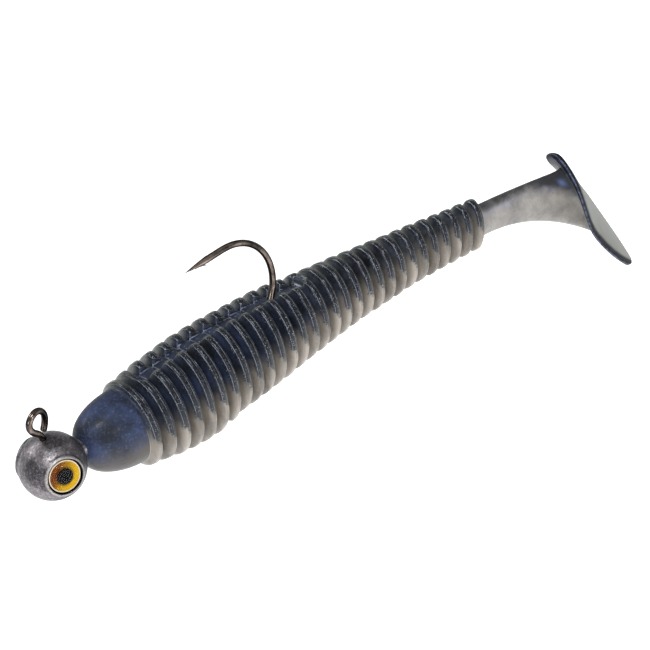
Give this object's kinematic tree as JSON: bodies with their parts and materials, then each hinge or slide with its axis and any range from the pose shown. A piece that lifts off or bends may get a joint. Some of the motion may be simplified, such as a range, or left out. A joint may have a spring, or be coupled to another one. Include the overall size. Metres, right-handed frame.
{
  "type": "soft swimbait",
  "caption": "Ribbed soft swimbait with a paddle tail, pushed onto a ball-head jig whose single hook stands out of the slotted back.",
  "frame": {"origin": "centre of the line-tie loop of the hook wire, where the line holds the lure", "axes": "+X from the head to the tail, +Z towards the back and the hook point, the middle plane is y = 0"},
  "size_m": [0.126, 0.0153, 0.051],
  "materials": {
    "lead_casting": "bare burnished lead alloy, mottled dark grey with brighter worn high spots",
    "black_nickel_wire": "black nickel plate, glossy with light streaks",
    "iris_foil": "printed amber and yellow foil",
    "pupil_ink": "black print",
    "clear_dome": "clear cast resin dome, polished",
    "back_pour": "dark blue-black translucent soft plastic with blue pearl, oily gloss",
    "belly_pour": "translucent grey-taupe soft plastic with pearl, oily gloss"
  },
  "bodies": {
    "rigged_fore_body": {"jig_head": "lead_casting", "hook": "black_nickel_wire", "iris_left": "iris_foil", "pupil_left": "pupil_ink", "lens_left": "clear_dome", "iris_right": "iris_foil", "pupil_right": "pupil_ink", "lens_right": "clear_dome", "fore_back": "back_pour", "fore_belly": "belly_pour"},
    "flex_1": {"flex_1_back": "back_pour", "flex_1_belly": "belly_pour"},
    "flex_2": {"flex_2_back": "back_pour", "flex_2_belly": "belly_pour"},
    "flex_3": {"flex_3_back": "back_pour", "flex_3_belly": "belly_pour"},
    "flex_4": {"flex_4_back": "back_pour", "flex_4_belly": "belly_pour"},
    "flex_5": {"flex_5_back": "back_pour", "flex_5_belly": "belly_pour"},
    "stem": {"stem_back": "back_pour", "stem_belly": "belly_pour"},
    "paddle": {"paddle": "belly_pour"}
  },
  "joints": [
    {"name": "body_bend_1", "type": "hinge", "parent": "rigged_fore_body", "child": "flex_1", "pos_m": [0.05244, 0, -0.01355], "axis": [0.1036, 0, 0.9946], "range_deg": [-7, 7], "stiffness_Nm_per_rad": 0.015},
    {"name": "body_bend_2", "type": "hinge", "parent": "flex_1", "child": "flex_2", "pos_m": [0.06045, 0, -0.01448], "axis": [0.1267, 0, 0.9919], "range_deg": [-7, 7]},
    {"name": "body_bend_3", "type": "hinge", "parent": "flex_2", "child": "flex_3", "pos_m": [0.06846, 0, -0.01559], "axis": [0.1496, 0, 0.9887], "range_deg": [-7, 7]},
    {"name": "body_bend_4", "type": "hinge", "parent": "flex_3", "child": "flex_4", "pos_m": [0.07647, 0, -0.0169], "axis": [0.1722, 0, 0.9851], "range_deg": [-7, 7]},
    {"name": "body_bend_5", "type": "hinge", "parent": "flex_4", "child": "flex_5", "pos_m": [0.08448, 0, -0.01839], "axis": [0.1946, 0, 0.9809], "range_deg": [-7, 7]},
    {"name": "tail_kick", "type": "hinge", "parent": "flex_5", "child": "stem", "pos_m": [0.09416, 0, -0.02045], "axis": [0.2158, 0, 0.9764], "range_deg": [-35, 35], "stiffness_Nm_per_rad": 0.0015},
    {"name": "paddle_flap", "type": "hinge", "parent": "stem", "child": "paddle", "pos_m": [0.1147, -0.00207, -0.02827], "axis": [-0.3099, 0.0936, 0.9461], "range_deg": [-12, 12], "stiffness_Nm_per_rad": 0.0004}
  ],
  "couplings": [
    {"joint": "body_bend_2", "follows": "body_bend_1", "ratio": 1},
    {"joint": "body_bend_3", "follows": "body_bend_1", "ratio": 1},
    {"joint": "body_bend_4", "follows": "body_bend_1", "ratio": 1},
    {"joint": "body_bend_5", "follows": "body_bend_1", "ratio": 1}
  ]
}
